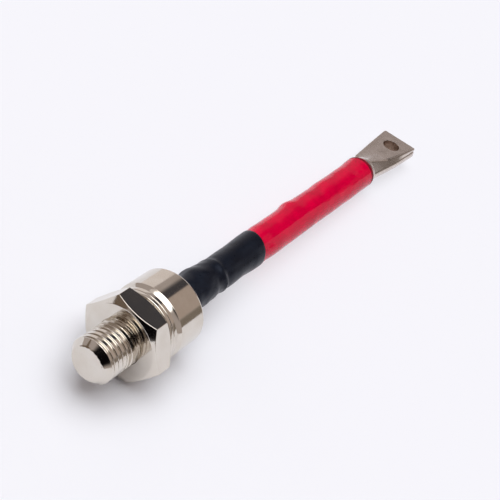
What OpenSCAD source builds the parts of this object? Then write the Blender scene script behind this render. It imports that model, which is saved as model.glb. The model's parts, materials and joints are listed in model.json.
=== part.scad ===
// Stud diode: hexagon base with a threaded stud, welded cap, sleeved flexible lead and flattened lug.
// +X runs along the axis from the stud to the lug, +Z is square to a flat of the hexagon.
// The origin is on the axis, in the middle of the stud's threaded length.

/* [Stud] */
// Major diameter of the thread
stud_d = 12; // [10:0.1:14]
// Length from the seating face to the flat end
stud_len = 11.2; // [9:0.1:16]
// Length of the chamfer at the flat end
stud_tip_len = 1.6; // [0.8:0.1:2.4]
// How far the flat end is drawn in from the thread, each side
stud_tip_inset = 1.4; // [0.6:0.1:2.2]
// Length of the relief neck under the seating face
neck_len = 1.4; // [0.6:0.1:2.4]
// Depth of the relief neck below the thread, each side
neck_depth = 0.75; // [0.3:0.05:1.2]

/* [Hexagon] */
// Width across flats
hex_af = 21; // [19:0.5:27]
// Thickness of the hexagon
hex_t = 6.2; // [4:0.1:9]
// How far the front chamfer cuts inside the flats
front_chamfer_inset = 0.6; // [0.1:0.05:1.2]
// How far the back chamfer cuts inside the flats
back_chamfer_inset = 0.3; // [0.1:0.05:1]
// Angle of the hexagon's chamfers from the face
hex_chamfer_angle = 30; // [15:1:45]
// Width of the recess round the thread in the seating face
recess_w = 0.4; // [0.2:0.05:1]
// Depth of the recess in the seating face
recess_depth = 0.3; // [0.1:0.05:0.6]

/* [Base shoulder] */
// Height of the shoulder behind the hexagon
shoulder_len = 1.1; // [0.6:0.1:2]
// Depth of the groove between hexagon and weld ring
shoulder_groove = 0.5; // [0.2:0.05:0.9]
// Height of the pedestal above the shoulder
pedestal_len = 1; // [0.5:0.1:2]

/* [Contact stack] */
// Diameter of the molybdenum disc
disc_d = 12; // [9:0.5:15]
// Thickness of the molybdenum disc
disc_t = 1; // [0.5:0.1:2]
// How far the wafer's edge stands inside the disc's
wafer_inset = 0.3; // [0.1:0.05:0.6]
// Thickness of the wafer
wafer_t = 0.4; // [0.25:0.05:0.8]
// How far the contact's flange stands inside the wafer's edge
contact_inset = 0.9; // [0.4:0.1:1.5]
// Thickness of the silver foil
foil_t = 0.2; // [0.1:0.05:0.4]
// Thickness of the contact's flange
flange_t = 1.2; // [0.8:0.1:2.5]
// Diameter of the contact's stem
stem_d = 4; // [3:0.1:5]
// Diameter of the inner lead
inner_lead_d = 3; // [2:0.1:3]
// Depth of the cup in the stem's end
cup_depth = 2.5; // [1:0.1:3]
// Wall of the centring ring
centring_wall = 1.2; // [0.8:0.1:2]
// How far the centring ring stays below the flange's top
centring_drop = 0.3; // [0.1:0.05:0.8]
// Thickness of the insulating washer
insulator_t = 0.8; // [0.5:0.1:2]
// Wall of the insulating bush
bush_wall = 0.7; // [0.4:0.1:1]
// Thickness of the pressure plate
plate_t = 0.9; // [0.5:0.1:2]
// How far the pressure plate stays inside the crown's bore
plate_inset = 0.3; // [0.1:0.05:0.6]
// Thickness of a disc spring
spring_t = 0.6; // [0.3:0.05:1]
// Cone height of a disc spring
spring_rise = 0.45; // [0.2:0.05:0.8]
// How far a disc spring stays inside the crown's bore
spring_inset = 0.5; // [0.2:0.05:0.9]

/* [Spring crown] */
// Wall of the crown
crown_wall = 1.1; // [0.9:0.1:2]
// Height of the crown above the retaining ring
crown_lip = 0.7; // [0.4:0.1:1.5]
// Thickness of the retaining ring
retainer_t = 0.8; // [0.5:0.1:1.5]
// Width of the retaining ring inside the crown's bore
retainer_w = 1.7; // [1:0.1:2.4]
// Depth of the crown's groove for the retaining ring
retainer_groove = 0.5; // [0.2:0.05:0.6]

/* [Cap] */
// Width of the weld ring
weld_ring_w = 1.25; // [0.8:0.05:2]
// Thickness of the weld ring
weld_ring_t = 1.05; // [0.6:0.05:2]
// Height of the cap's lip on the weld ring
lip_t = 1.25; // [0.8:0.05:2]
// Depth of the groove above the lip
lip_groove = 0.2; // [0.1:0.05:0.35]
// Width of the groove above the lip
lip_groove_w = 0.2; // [0.1:0.05:0.5]
// Step from the lip out to the cap's wall
cap_step = 0.5; // [0.2:0.05:1]
// Length of the cone between lip and wall
cap_cone_len = 1; // [0.5:0.1:2]
// Wall of the cap
cap_wall = 0.8; // [0.5:0.05:1.1]
// Thickness of the cap's top
cap_top_t = 0.9; // [0.7:0.1:1.6]
// Room between the crown and the cap's top
cap_headroom = 2.5; // [1.5:0.1:4]
// Rounding of the cap's far rim
cap_rim_r = 0.7; // [0.2:0.05:0.85]
// Rounding chamfer on the rims of the weld ring and the lip
rim_break = 0.18; // [0.05:0.01:0.3]

/* [Glass seal] */
// Width of the glass between tube and eyelet
glass_w = 3; // [1.5:0.1:3.5]
// Wall of the seal's eyelet
eyelet_wall = 0.7; // [0.4:0.1:1]
// Width of the eyelet's flange under the cap's top
eyelet_flange = 0.6; // [0.3:0.1:1]
// Thickness of the eyelet's flange
eyelet_flange_t = 0.4; // [0.2:0.1:0.8]
// How far the glass stays below each end of the eyelet
glass_sink = 0.1; // [0.05:0.05:0.3]

/* [Terminal tube] */
// Diameter of the tube's neck in the glass
tube_neck_d = 5.6; // [4.4:0.1:7]
// How far the tube reaches below the cap's top
tube_drop = 1; // [0.6:0.1:1.4]
// Gap between the cap's top and the crimp barrel
barrel_gap = 0.7; // [0.3:0.1:1.5]
// Diameter of the crimp barrel
barrel_d = 8.9; // [8.2:0.1:10.5]
// Length of the crimp barrel
barrel_len = 17.1; // [12:0.1:25]
// Depth of the bore for the inner lead
inner_bore_depth = 4; // [2.5:0.1:5]
// Depth of the bore for the flexible lead
lead_bore_depth = 13.6; // [8:0.1:14]

/* [Flexible lead] */
// Diameter of the stranded conductor
conductor_d = 7.5; // [6.8:0.1:8.4]
// Diameter of the conductor where the terminal tube is crimped on it
conductor_tube_d = 6.6; // [5:0.1:7]
// Diameter of the conductor where the lug is crimped on it
conductor_lug_d = 5.7; // [5:0.1:7]
// Length of the taper between the conductor's diameters
conductor_taper = 0.8; // [0.4:0.1:2]
// Wall of the black sleeve over the barrel
black_wall = 0.4; // [0.3:0.05:1]
// Length of the black sleeve from the cap
black_len = 35.7; // [30:0.1:50]
// How far the black sleeve narrows past the barrel
black_pinch = 0.2; // [0.05:0.05:0.4]
// Length over which the black sleeve widens at the cap and narrows at the crease
black_ease = 2; // [1:0.1:4]
// Wall of the black sleeve at its end, stretched over the red one
black_end_wall = 0.2; // [0.15:0.05:0.6]
// Wall of the red sleeve under the black one
red_thin_wall = 0.5; // [0.3:0.05:0.8]
// Outer diameter of the red sleeve
red_d = 9.8; // [9.4:0.1:12]
// Length of the red sleeve beyond the black one
red_len = 62.2; // [40:0.1:100]
// How far the black sleeve's end holds the red one in, each side
red_tuck = 0.15; // [0.05:0.05:0.4]
// Length over which the red sleeve widens under the black sleeve's end, and again beyond it
red_ease = 3; // [1:0.1:4]

/* [Cable lug] */
// Diameter of the lug's round barrel
lug_d = 8.6; // [7.6:0.1:9]
// Length of the barrel inside the red sleeve
lug_grip = 13.7; // [8:0.1:20]
// Length of the barrel between the red sleeve and the flattening
lug_bare = 0.6; // [0.2:0.1:3]
// Depth of the bore for the conductor
lug_bore_depth = 12.5; // [6:0.1:13]
// Length over which the round tube flattens
lug_flatten_len = 12.7; // [6:0.1:18]
// Width of the tube at the palm's beginning
press_w = 11.6; // [9:0.1:16]
// Thickness of the tube at the palm's beginning
press_t = 5.1; // [4:0.1:6]
// Width of the top face at the palm's beginning
press_top_w = 8.4; // [5:0.1:9]
// Length of the palm
palm_len = 11.6; // [10:0.1:24]
// Width of the palm at its end
palm_w = 12.8; // [11:0.1:18]
// Thickness of the palm at its end
palm_t = 3.7; // [3:0.1:5]
// Width of the top face at the palm's end
palm_top_w = 12; // [10:0.1:12.6]
// Radius of the lip along the lower edge of each side
lip_r = 0.7; // [0.4:0.05:1]
// Radius of the top face's edges
palm_edge_r = 0.4; // [0.2:0.05:0.8]
// Height of the palm's top face above the axis
palm_top = 2.7; // [1.8:0.1:4]
// Gap between the two walls at the palm's open end
mouth_t = 0.5; // [0.2:0.05:1]
// Depth of that gap, where the walls are pressed together
mouth_depth = 1.6; // [0.5:0.1:3]
// Bevel on the palm's two end corners
palm_corner = 0.9; // [0.3:0.1:2]
// Diameter of the palm's hole
palm_hole_d = 5.5; // [4.5:0.1:7]
// Distance from the hole's middle to the palm's end
palm_hole_edge = 6.4; // [5.8:0.1:8]
// Turn of the palm about the axis, from level with the hexagon's flats
lug_turn = -9; // [-90:1:90]

/* [Fit] */
// Gap between round pieces that slide into each other
fit = 0.05; // [0.02:0.01:0.1]

/* [Hidden] */
$fn = 96;
hull_fn = 32;
slice = 0.01;

// Stud and base, along the axis
thread_len = stud_len - stud_tip_len - neck_len;
thread_x0 = -thread_len / 2;
tip_x = thread_x0 - stud_tip_len;
seat_x = thread_len / 2 + neck_len;
hex_x1 = seat_x + hex_t;
shoulder_x1 = hex_x1 + shoulder_len;
pedestal_x1 = shoulder_x1 + pedestal_len;

// Contact stack, along the axis
disc_x1 = pedestal_x1 + disc_t;
wafer_x1 = disc_x1 + wafer_t;
foil_x1 = wafer_x1 + foil_t;
flange_x1 = foil_x1 + flange_t;
insulator_x1 = flange_x1 + insulator_t;
plate_x1 = insulator_x1 + plate_t;
spring_h = spring_t + spring_rise;
lower_spring_x1 = plate_x1 + spring_h;
upper_spring_x1 = lower_spring_x1 + spring_h;
retainer_x1 = upper_spring_x1 + retainer_t;
crown_x1 = retainer_x1 + crown_lip;

// Cap and seal, along the axis
cap_x0 = shoulder_x1 + weld_ring_t;
lip_x1 = cap_x0 + lip_t;
cone_x0 = lip_x1 + lip_groove_w;
cone_x1 = cone_x0 + cap_cone_len;
cap_top_x0 = crown_x1 + cap_headroom;
cap_x1 = cap_top_x0 + cap_top_t;
eyelet_x0 = cap_top_x0 - eyelet_flange_t;
tube_x0 = cap_top_x0 - tube_drop;
inner_bore_x1 = tube_x0 + inner_bore_depth;
barrel_x0 = cap_x1 + barrel_gap;
barrel_x1 = barrel_x0 + barrel_len;
lead_bore_x0 = barrel_x1 - lead_bore_depth;

// Lead and lug, along the axis
black_x1 = cap_x1 + black_len;
red_x1 = black_x1 + red_len;
lug_x0 = red_x1 - lug_grip;
lug_bore_x1 = lug_x0 + lug_bore_depth;
flatten_x0 = red_x1 + lug_bare;
palm_x0 = flatten_x0 + lug_flatten_len;
palm_x1 = palm_x0 + palm_len;
hole_x = palm_x1 - palm_hole_edge;

// Radii, from the axis outwards
stud_r = stud_d / 2;
tip_r = stud_r - stud_tip_inset;
neck_r = stud_r - neck_depth;
hex_corner_r = hex_af / 2 / cos(30);
front_circle_r = hex_af / 2 - front_chamfer_inset;
back_circle_r = hex_af / 2 - back_chamfer_inset;
disc_r = disc_d / 2;
wafer_r = disc_r - wafer_inset;
contact_r = wafer_r - contact_inset;
stem_r = stem_d / 2;
inner_lead_r = inner_lead_d / 2;
bush_r0 = stem_r + fit;
bush_r1 = bush_r0 + bush_wall;
centring_r0 = disc_r + fit;
centring_r1 = centring_r0 + centring_wall;
crown_r0 = centring_r1 + fit;
crown_r1 = crown_r0 + crown_wall;
weld_ring_r0 = crown_r1 + fit;
weld_ring_r1 = weld_ring_r0 + weld_ring_w;
shoulder_r = weld_ring_r1 - shoulder_groove;
cap_r1 = weld_ring_r1 + cap_step;
cap_r0 = cap_r1 - cap_wall;
tube_neck_r = tube_neck_d / 2;
glass_r0 = tube_neck_r + fit;
glass_r1 = glass_r0 + glass_w;
eyelet_r0 = glass_r1 + fit;
eyelet_r1 = eyelet_r0 + eyelet_wall;
cap_hole_r = eyelet_r1 + fit;
barrel_r = barrel_d / 2;
conductor_r = conductor_d / 2;
conductor_tube_r = conductor_tube_d / 2;
conductor_lug_r = conductor_lug_d / 2;
red_r0 = conductor_r + fit;
red_thin_r = red_r0 + red_thin_wall;
red_r1 = red_d / 2;
red_mouth_r = red_r1 - red_tuck;
black_r0 = barrel_r + fit;
black_r1 = black_r0 + black_wall;
black_thin_r0 = red_thin_r + fit;
black_pinch_r = black_r1 - black_pinch;
black_end_r = red_mouth_r + fit + black_end_wall;
lug_r = lug_d / 2;

// Turns a half section, radius across and axis up, about the X axis
module turned() {
  rotate([0, 90, 0]) rotate_extrude() children();
}

// Plain ring or disc between two radii and two places on the axis
module ring(r0, r1, x0, x1) {
  turned() translate([r0, x0]) square([r1 - r0, x1 - x0]);
}

// Disc spring: the rim at from_r stands at x0, the other rim one cone height further on
module disc_spring(from_r, to_r, x0) {
  turned()
    polygon([
      [from_r, x0],
      [from_r, x0 + spring_t],
      [to_r, x0 + spring_h],
      [to_r, x0 + spring_rise]
    ]);
}

// Hexagonal head with a flat on top, chamfered to a circle on both faces
module hexagon() {
  grow = hex_corner_r * tan(hex_chamfer_angle);
  intersection() {
    translate([seat_x, 0, 0])
      rotate([0, 90, 0])
        linear_extrude(hex_t) rotate(30) circle(r = hex_corner_r, $fn = 6);
    turned()
      intersection() {
        polygon([
          [0, seat_x],
          [front_circle_r, seat_x],
          [front_circle_r + hex_corner_r, seat_x + grow],
          [0, seat_x + grow]
        ]);
        polygon([
          [0, hex_x1],
          [back_circle_r, hex_x1],
          [back_circle_r + hex_corner_r, hex_x1 - grow],
          [0, hex_x1 - grow]
        ]);
      }
  }
}

// Base turned from one bar: threaded stud, neck, hexagon with a recess round the neck, shoulder, pedestal
module base_stud() {
  color("#c9c2b4")
    union() {
      turned()
        polygon([
          [0, tip_x],
          [tip_r, tip_x],
          [stud_r, thread_x0],
          [stud_r, thread_x0 + thread_len],
          [neck_r, thread_x0 + thread_len + neck_depth / 2],
          [neck_r, seat_x + hex_t / 2],
          [shoulder_r, seat_x + hex_t / 2],
          [shoulder_r, shoulder_x1],
          [disc_r, shoulder_x1],
          [disc_r, pedestal_x1],
          [0, pedestal_x1]
        ]);
      difference() {
        hexagon();
        ring(0, stud_r + recess_w, seat_x - slice, seat_x + recess_depth);
      }
    }
}

module weld_ring() {
  color("#d8d2c8")
    turned()
      polygon([
        [weld_ring_r0, shoulder_x1],
        [weld_ring_r1 - rim_break, shoulder_x1],
        [weld_ring_r1, shoulder_x1 + rim_break],
        [weld_ring_r1, cap_x0 - rim_break],
        [weld_ring_r1 - rim_break, cap_x0],
        [weld_ring_r0, cap_x0]
      ]);
}

module spring_crown() {
  color("#9a9a9c")
    turned()
      difference() {
        translate([crown_r0, shoulder_x1]) square([crown_wall, crown_x1 - shoulder_x1]);
        translate([crown_r0, upper_spring_x1 - fit])
          square([retainer_groove, retainer_t + 2 * fit]);
      }
}

module lower_disc() {
  color("#8d8f94") ring(0, disc_r, pedestal_x1, disc_x1);
}

module silicon_wafer() {
  color("#4a4e57") ring(0, wafer_r, disc_x1, wafer_x1);
}

module silver_foil() {
  color("#e3e3e3") ring(0, contact_r, wafer_x1, foil_x1);
}

// Copper contact: flange on the wafer, stem through the springs, cup for the inner lead
module top_contact() {
  color("#b87345")
    turned()
      polygon([
        [0, foil_x1],
        [contact_r, foil_x1],
        [contact_r, flange_x1],
        [stem_r, flange_x1],
        [stem_r, crown_x1],
        [inner_lead_r + fit, crown_x1],
        [inner_lead_r + fit, crown_x1 - cup_depth],
        [0, crown_x1 - cup_depth]
      ]);
}

module centring_ring() {
  color("#f0eee6") ring(centring_r0, centring_r1, shoulder_x1, flange_x1 - centring_drop);
}

module insulating_washer() {
  color("#f4f1ea") ring(bush_r0, crown_r0 - fit, flange_x1, insulator_x1);
}

module insulating_bush() {
  color("#efe7d2") ring(bush_r0, bush_r1, insulator_x1, retainer_x1);
}

module pressure_plate() {
  color("#a5a5a8") ring(bush_r1 + fit, crown_r0 - plate_inset, insulator_x1, plate_x1);
}

module lower_spring() {
  color("#7d7f84") disc_spring(crown_r0 - spring_inset, bush_r1 + fit, plate_x1);
}

module upper_spring() {
  color("#7d7f84") disc_spring(bush_r1 + fit, crown_r0 - spring_inset, lower_spring_x1);
}

module retaining_ring() {
  color("#6e7075")
    ring(crown_r0 - retainer_w, crown_r0 + retainer_groove - fit, upper_spring_x1, retainer_x1);
}

module inner_lead() {
  color("#c98a5a") ring(0, inner_lead_r, crown_x1 - cup_depth, inner_bore_x1);
}

// Drawn cap: lip on the weld ring, cone out to the wall, rounded far rim, hole for the seal
module cap() {
  rim_x = cap_x1 - cap_rim_r;
  color("#d2ccc2")
    turned()
      union() {
        polygon([
          [weld_ring_r0, cap_x0],
          [weld_ring_r1 - rim_break, cap_x0],
          [weld_ring_r1, cap_x0 + rim_break],
          [weld_ring_r1, lip_x1 - rim_break],
          [weld_ring_r1 - lip_groove, lip_x1],
          [weld_ring_r1 - lip_groove, cone_x0],
          [cap_r1, cone_x1],
          [cap_r1, rim_x],
          [cap_r1 - cap_rim_r, cap_x1],
          [cap_hole_r, cap_x1],
          [cap_hole_r, cap_top_x0],
          [cap_r0, cap_top_x0],
          [cap_r0, cone_x1 + cap_wall],
          [weld_ring_r0, lip_x1]
        ]);
        translate([cap_r1 - cap_rim_r, rim_x]) circle(r = cap_rim_r);
      }
}

module seal_ring() {
  color("#b9b4aa")
    turned()
      polygon([
        [eyelet_r0, eyelet_x0],
        [eyelet_r1 + eyelet_flange, eyelet_x0],
        [eyelet_r1 + eyelet_flange, cap_top_x0],
        [eyelet_r1, cap_top_x0],
        [eyelet_r1, cap_x1],
        [eyelet_r0, cap_x1]
      ]);
}

module glass_seal() {
  color("#7fa08c") ring(glass_r0, glass_r1, eyelet_x0 + glass_sink, cap_x1 - glass_sink);
}

// Tube through the seal: one bore for the inner lead, one for the flexible lead, a web between them
module terminal_tube() {
  color("#b9793f")
    turned()
      polygon([
        [inner_lead_r + fit, tube_x0],
        [tube_neck_r, tube_x0],
        [tube_neck_r, barrel_x0],
        [barrel_r, barrel_x0],
        [barrel_r, barrel_x1],
        [conductor_tube_r + fit, barrel_x1],
        [conductor_tube_r + fit, lead_bore_x0],
        [0, lead_bore_x0],
        [0, inner_bore_x1],
        [inner_lead_r + fit, inner_bore_x1]
      ]);
}

// Stranded conductor, drawn in at both crimps
module conductor() {
  color("#c48250")
    turned()
      polygon([
        [0, lead_bore_x0],
        [conductor_tube_r, lead_bore_x0],
        [conductor_tube_r, barrel_x1],
        [conductor_r, barrel_x1 + conductor_taper],
        [conductor_r, lug_x0 - conductor_taper],
        [conductor_lug_r, lug_x0],
        [conductor_lug_r, lug_bore_x1 - fit],
        [0, lug_bore_x1 - fit]
      ]);
}

// Black shrink sleeve: tight on the barrel, pinched behind it, wider again over its end
module black_sleeve() {
  color("#1c1d22")
    turned()
      polygon([
        [black_r0, cap_x1],
        [black_r1 - black_pinch, cap_x1],
        [black_r1, cap_x1 + black_ease],
        [black_r1, barrel_x1 - black_ease / 2],
        [black_pinch_r, barrel_x1 + black_ease / 2],
        [black_pinch_r, black_x1 - 2 * red_ease],
        [black_end_r, black_x1],
        [red_mouth_r + fit, black_x1],
        [black_thin_r0, black_x1 - red_ease],
        [black_thin_r0, barrel_x1],
        [black_r0, barrel_x1]
      ]);
}

// Red shrink sleeve: thin under the black one, full size beyond it, stretched over the lug's barrel
module red_sleeve() {
  color("#b3123a")
    turned()
      polygon([
        [red_r0, barrel_x1 + conductor_taper],
        [red_thin_r, barrel_x1 + conductor_taper],
        [red_thin_r, black_x1 - red_ease],
        [red_mouth_r, black_x1],
        [red_r1, black_x1 + red_ease],
        [red_r1, red_x1],
        [lug_r + fit, red_x1],
        [lug_r + fit, lug_x0 - conductor_taper],
        [red_r0, lug_x0 - conductor_taper]
      ]);
}

// Thin slice of the pressed tube: wide lips below, sloping sides and a narrower flat top at palm_top
module press_slice(x, w, top_w, t) {
  translate([x, 0, palm_top])
    rotate([0, 90, 0])
      linear_extrude(slice)
        hull()
          for (side = [-1, 1]) {
            translate([t - lip_r, side * (w / 2 - lip_r)]) circle(r = lip_r, $fn = hull_fn);
            translate([palm_edge_r, side * (top_w / 2 - palm_edge_r)]) circle(r = palm_edge_r, $fn = hull_fn);
          }
}

// Arrow from above that bevels the palm's two end corners at 45 degrees
module corner_bevels() {
  polygon([
    [flatten_x0, -palm_w],
    [palm_x1 - palm_corner - palm_w / 2, -palm_w],
    [palm_x1 - palm_corner + palm_w / 2, 0],
    [palm_x1 - palm_corner - palm_w / 2, palm_w],
    [flatten_x0, palm_w]
  ]);
}

// Copper tube lug: round barrel, long taper, palm with its hole, bevelled corners and open mouth
module cable_lug() {
  color("#8f877d") rotate([lug_turn, 0, 0])
    difference() {
      union() {
        ring(0, lug_r, lug_x0, flatten_x0);
        hull() {
          translate([flatten_x0 - slice, 0, 0])
            rotate([0, 90, 0]) cylinder(r = lug_r - fit, h = slice, $fn = hull_fn);
          press_slice(palm_x0 - slice, press_w, press_top_w, press_t);
        }
        intersection() {
          hull() {
            press_slice(palm_x0, press_w, press_top_w, press_t);
            press_slice(palm_x1 - slice, palm_w, palm_top_w, palm_t);
          }
          translate([0, 0, palm_top - 2 * press_t]) linear_extrude(4 * press_t) corner_bevels();
        }
      }
      ring(0, conductor_lug_r + fit, lug_x0 - slice, lug_bore_x1);
      translate([hole_x, 0, palm_top - 2 * press_t]) cylinder(d = palm_hole_d, h = 4 * press_t);
      translate([palm_x1 - mouth_depth, -(palm_w - palm_t) / 2, palm_top - palm_t / 2 - mouth_t / 2])
        cube([2 * mouth_depth, palm_w - palm_t, mouth_t]);
    }
}

base_stud();
weld_ring();
spring_crown();
lower_disc();
silicon_wafer();
silver_foil();
top_contact();
centring_ring();
insulating_washer();
insulating_bush();
pressure_plate();
lower_spring();
upper_spring();
retaining_ring();
inner_lead();
cap();
seal_ring();
glass_seal();
terminal_tube();
conductor();
black_sleeve();
red_sleeve();
cable_lug();
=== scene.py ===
"""Looks of the stud diode: threaded nickel base, welded cap, sleeved lead and pressed lug."""
import json
import logging
from contextlib import contextmanager
from dataclasses import dataclass
from enum import Enum
from functools import cache
from math import atan2, ceil, cos, exp, hypot, pi, radians, sin, tan
from typing import Callable, Iterator, Sequence

import bmesh
import bpy
from bpy.types import Material, Node, NodeSocket, NodeTree, Object
from mathutils import Matrix, Vector, noise


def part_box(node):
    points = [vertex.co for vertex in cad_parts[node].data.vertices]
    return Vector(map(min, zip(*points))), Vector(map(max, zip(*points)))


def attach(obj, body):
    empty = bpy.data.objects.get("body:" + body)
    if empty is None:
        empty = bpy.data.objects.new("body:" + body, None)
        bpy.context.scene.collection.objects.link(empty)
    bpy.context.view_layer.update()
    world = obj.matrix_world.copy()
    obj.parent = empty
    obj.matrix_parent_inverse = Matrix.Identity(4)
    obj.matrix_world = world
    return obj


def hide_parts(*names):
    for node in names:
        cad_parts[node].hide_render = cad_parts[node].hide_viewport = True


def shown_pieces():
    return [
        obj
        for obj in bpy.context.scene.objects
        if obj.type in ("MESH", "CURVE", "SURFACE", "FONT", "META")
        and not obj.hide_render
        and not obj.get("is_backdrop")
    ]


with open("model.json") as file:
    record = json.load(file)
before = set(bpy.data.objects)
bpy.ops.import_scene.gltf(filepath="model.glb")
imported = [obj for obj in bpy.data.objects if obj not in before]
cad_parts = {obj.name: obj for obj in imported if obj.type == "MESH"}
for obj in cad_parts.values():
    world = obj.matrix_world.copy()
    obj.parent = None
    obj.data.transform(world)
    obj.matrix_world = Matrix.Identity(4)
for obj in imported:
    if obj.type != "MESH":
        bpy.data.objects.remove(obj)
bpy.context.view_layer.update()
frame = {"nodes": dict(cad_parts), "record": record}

LOG = logging.getLogger("stud_diode")
MM = 0.001
FULL_TURN = 2.0 * pi
MERGE = 0.0005 * MM
CUT_THRESHOLD = 0.00005 * MM
BODY = "root"

Corner = tuple[float, ...]
Triple = tuple[float, float, float]
RadialShape = Callable[[float, float], float]


class Slot(Enum):
    """Material slots of the record."""

    NICKEL = "nickel_plate"
    STEEL = "plain_steel"
    MOLYBDENUM = "molybdenum"
    SILICON = "silicon"
    SILVER = "silver"
    COPPER = "copper"
    WHITE_PLASTIC = "white_plastic"
    ALUMINA = "alumina"
    GLASS = "seal_glass"
    BLACK_SLEEVE = "black_shrink_sleeve"
    RED_SLEEVE = "red_shrink_sleeve"
    TINNED = "tinned_copper"


# Helpers for modelling


def deselect_all() -> None:
    """Leaves edit mode and deselects every object."""
    if bpy.context.mode != "OBJECT":
        bpy.ops.object.mode_set(mode="OBJECT")
    bpy.ops.object.select_all(action="DESELECT")


def pick(obj: Object) -> None:
    """Selects one object alone and makes it the active one."""
    deselect_all()
    obj.select_set(True)
    bpy.context.view_layer.objects.active = obj


def newest(name: str) -> Object:
    """The object that was added last, with its name given."""
    obj = bpy.context.active_object
    obj.name = name
    obj.data.name = name
    return obj


@contextmanager
def editing(obj: Object) -> Iterator[bmesh.types.BMesh]:
    """Opens one object in edit mode, with all of its mesh selected.

    Args:
        obj: the object to open.

    Returns:
        Its edit mesh, for selecting vertices, edges and faces by their place.
    """
    pick(obj)
    bpy.ops.object.mode_set(mode="EDIT")
    bpy.ops.mesh.select_all(action="SELECT")
    mesh = bmesh.from_edit_mesh(obj.data)
    yield mesh
    bmesh.update_edit_mesh(obj.data)
    bpy.ops.object.mode_set(mode="OBJECT")


def select_open_edges(obj: Object, at_x: float | None = None) -> None:
    """Selects the open edges of an object in edit mode, or only those at one place on the axis."""
    bpy.ops.mesh.select_all(action="DESELECT")
    mesh = bmesh.from_edit_mesh(obj.data)
    for edge in mesh.edges:
        if edge.is_boundary and (at_x is None or all(abs(end.co.x - at_x) < MERGE for end in edge.verts)):
            edge.select_set(True)


def ramp(low: float, high: float, value: float) -> float:
    """Rises evenly from 0 at low to 1 at high, and is held there beyond."""
    return min(max((value - low) / (high - low), 0.0), 1.0)


def smoothstep(low: float, high: float, value: float) -> float:
    """Eases from 0 at low to 1 at high, and is held there beyond."""
    share = ramp(low, high, value)
    return share * share * (3.0 - 2.0 * share)


def bell(away: float, width: float) -> float:
    """Soft hump of height 1 that falls away over a width."""
    return exp(-(away / width) ** 2)


def turned(angle: float, other: float) -> float:
    """Shortest turn from one angle to another, from minus half a turn to half a turn."""
    return (angle - other + pi) % FULL_TURN - pi


def blend(start: float, end: float, share: float) -> float:
    """Number that lies at a share of the way from start to end."""
    return start + (end - start) * share


def round_corners(corners: Sequence[Corner], steps: int = 4) -> list[Vector]:
    """Turns a closed half section with roundings into plain points.

    Args:
        corners: place on the axis, radius and, if it has one, rounding of each corner, in mm.
        steps: flats on each rounding.

    Returns:
        The points, as (place on the axis, radius) in mm.
    """
    points = []
    for index, (x, radius, *rest) in enumerate(corners):
        here = Vector((x, radius))
        if not rest:
            points.append(here)
            continue
        rounding = rest[0]
        before = Vector(corners[index - 1][:2]) - here
        after = Vector(corners[(index + 1) % len(corners)][:2]) - here
        half = before.angle(after) / 2.0
        reach = rounding / tan(half)
        middle = here + (before.normalized() + after.normalized()).normalized() * (rounding / sin(half))
        first = (here + before.normalized() * reach - middle).normalized()
        last = (here + after.normalized() * reach - middle).normalized()
        points += [middle + first.slerp(last, step / steps) * rounding for step in range(steps + 1)]
    return points


def draw_line(name: str, points: Sequence[Vector]) -> Object:
    """Draws a chain of edges in the XZ plane by extruding one vertex from point to point.

    Args:
        name: name of the new object.
        points: places on the axis and radii, in mm.

    Returns:
        The object.
    """
    deselect_all()
    bpy.ops.mesh.primitive_plane_add(size=MM)
    line = newest(name)
    with editing(line):
        bpy.ops.mesh.merge(type="CENTER")
        bpy.ops.transform.translate(value=(points[0].x * MM, 0.0, points[0].y * MM))
        for here, there in zip(points, points[1:]):
            move = (there - here) * MM
            bpy.ops.mesh.extrude_region_move(TRANSFORM_OT_translate={"value": (move.x, 0.0, move.y)})
    return line


def close_up(obj: Object) -> None:
    """Merges doubles and turns all faces outwards."""
    with editing(obj):
        bpy.ops.mesh.remove_doubles(threshold=MERGE)
        bpy.ops.mesh.normals_make_consistent(inside=False)


def turn(name: str, points: Sequence[Vector], steps: int) -> Object:
    """Spins a closed half section about the X axis.

    Args:
        name: name of the piece.
        points: places on the axis and radii, in mm.
        steps: columns round the axis.

    Returns:
        The turned piece.
    """
    piece = draw_line(name, [*points, points[0]])
    with editing(piece):
        bpy.ops.mesh.spin(steps=steps, angle=FULL_TURN, center=(0.0, 0.0, 0.0), axis=(1.0, 0.0, 0.0))
    close_up(piece)
    return piece


def apply_modifier(obj: Object, kind: str, **settings: object) -> None:
    """Adds one modifier with its settings and applies it.

    Args:
        obj: the object to change.
        kind: type of the modifier.
        settings: properties to set on it.
    """
    pick(obj)
    modifier = obj.modifiers.new(kind.lower(), kind)
    for key, value in settings.items():
        setattr(modifier, key, value)
    bpy.ops.object.modifier_apply(modifier=modifier.name)


def smooth(obj: Object, angle: float = 35.0, weighted: bool = True) -> None:
    """Shades a piece smooth, with flat faces kept flat.

    Args:
        obj: the piece.
        angle: edges that bend by more than this stay sharp, in degrees.
        weighted: whether large faces pull the normals towards them.
    """
    pick(obj)
    bpy.ops.object.shade_smooth_by_angle(angle=radians(angle))
    if weighted:
        apply_modifier(obj, "WEIGHTED_NORMAL", weight=80, keep_sharp=True)


def cut_away(obj: Object) -> None:
    """Cuts the object that was added last out of a piece and deletes it."""
    tool = bpy.context.active_object
    apply_modifier(obj, "BOOLEAN", object=tool, operation="DIFFERENCE", solver="EXACT")
    pick(tool)
    bpy.ops.object.delete()


def settle(obj: Object, slot: Slot, *nodes: str) -> None:
    """Puts a finished piece in the frame in place of its solids.

    Args:
        obj: the piece.
        slot: material slot of the record; not used.
        nodes: the solids that it stands for.
    """
    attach(obj, BODY)
    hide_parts(*nodes)
    LOG.info("%s: %d faces, for %s", obj.name, len(obj.data.polygons), ", ".join(nodes))


@cache
def span(node: str) -> tuple[float, float]:
    """First and last place of a solid on the axis, in mm."""
    low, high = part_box(node)
    return low[0] / MM, high[0] / MM


# Materials


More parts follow.
